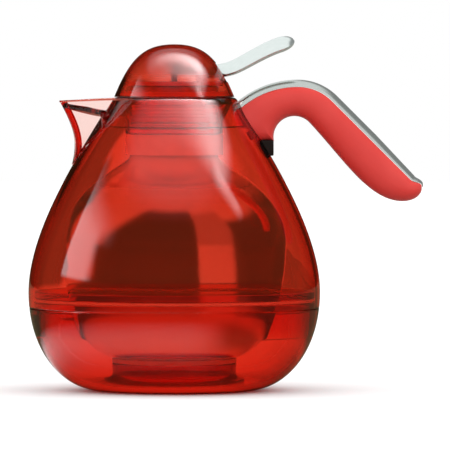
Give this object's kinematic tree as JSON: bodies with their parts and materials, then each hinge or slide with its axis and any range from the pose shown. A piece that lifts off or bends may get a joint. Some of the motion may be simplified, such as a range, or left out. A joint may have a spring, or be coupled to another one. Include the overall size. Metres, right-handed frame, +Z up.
{
  "type": "thermal carafe",
  "caption": "Pear-shaped thermal carafe: see-through body round a silvered glass bottle, beak spout, hooked handle, and a domed lift-off lid whose thumb lever opens the pouring valve.",
  "frame": {"origin": "middle of the flat foot, on the body's own axis and on the surface that it stands on", "axes": "+Z up along the body's axis, +X towards the handle and the thumb lever, -X towards the spout"},
  "size_m": [0.2615, 0.1924, 0.2341],
  "materials": {
    "red_acrylic": "clear red, polished",
    "red_plastic": "satin",
    "red_stopper": "gloss",
    "silvered_glass": "silvered",
    "chrome": "polished",
    "stainless_steel": "bright",
    "black_rubber": "matte",
    "clear_silicone": "matte",
    "white_plastic": "matte"
  },
  "bodies": {
    "body": {"upper_shell": "red_acrylic", "base_bowl": "red_acrylic", "joint_seal": "clear_silicone", "liner_outer_wall": "silvered_glass", "liner_inner_wall": "silvered_glass", "liner_spacer_1": "white_plastic", "liner_spacer_2": "white_plastic", "liner_spacer_3": "white_plastic", "liner_cradle": "red_acrylic", "cradle_cushion": "clear_silicone", "neck_seal": "clear_silicone", "neck_collar": "red_acrylic", "handle_grip": "red_plastic", "handle_trim": "chrome", "handle_pad": "black_rubber", "handle_screw_left": "stainless_steel", "handle_screw_right": "stainless_steel"},
    "lid": {"lid_dome": "red_acrylic", "stopper_body": "red_stopper", "stopper_seal": "clear_silicone", "stopper_plate": "red_stopper", "lever_pin": "stainless_steel"},
    "lever": {"thumb_lever": "chrome"},
    "valve": {"valve_stem": "stainless_steel", "valve_plug": "white_plastic", "valve_seal": "clear_silicone", "stem_nut": "stainless_steel", "valve_spring": "stainless_steel"}
  },
  "joints": [
    {"name": "lid_lift", "type": "slide", "parent": "body", "child": "lid", "axis": [0, 0, 1], "range_m": [0, 0.1]},
    {"name": "lever_press", "type": "hinge", "parent": "lid", "child": "lever", "pos_m": [0.018, 0, 0.211], "axis": [0, 1, 0], "range_deg": [0, 11], "stiffness_Nm_per_rad": 0.2, "springref_deg": -22.92},
    {"name": "valve_lift", "type": "slide", "parent": "lid", "child": "valve", "axis": [0, 0, 1], "range_m": [0, 0.0036], "deforming": ["valve_spring"]}
  ],
  "couplings": [
    {"joint": "valve_lift", "follows": "lever_press", "m_per_rad": 0.018}
  ]
}
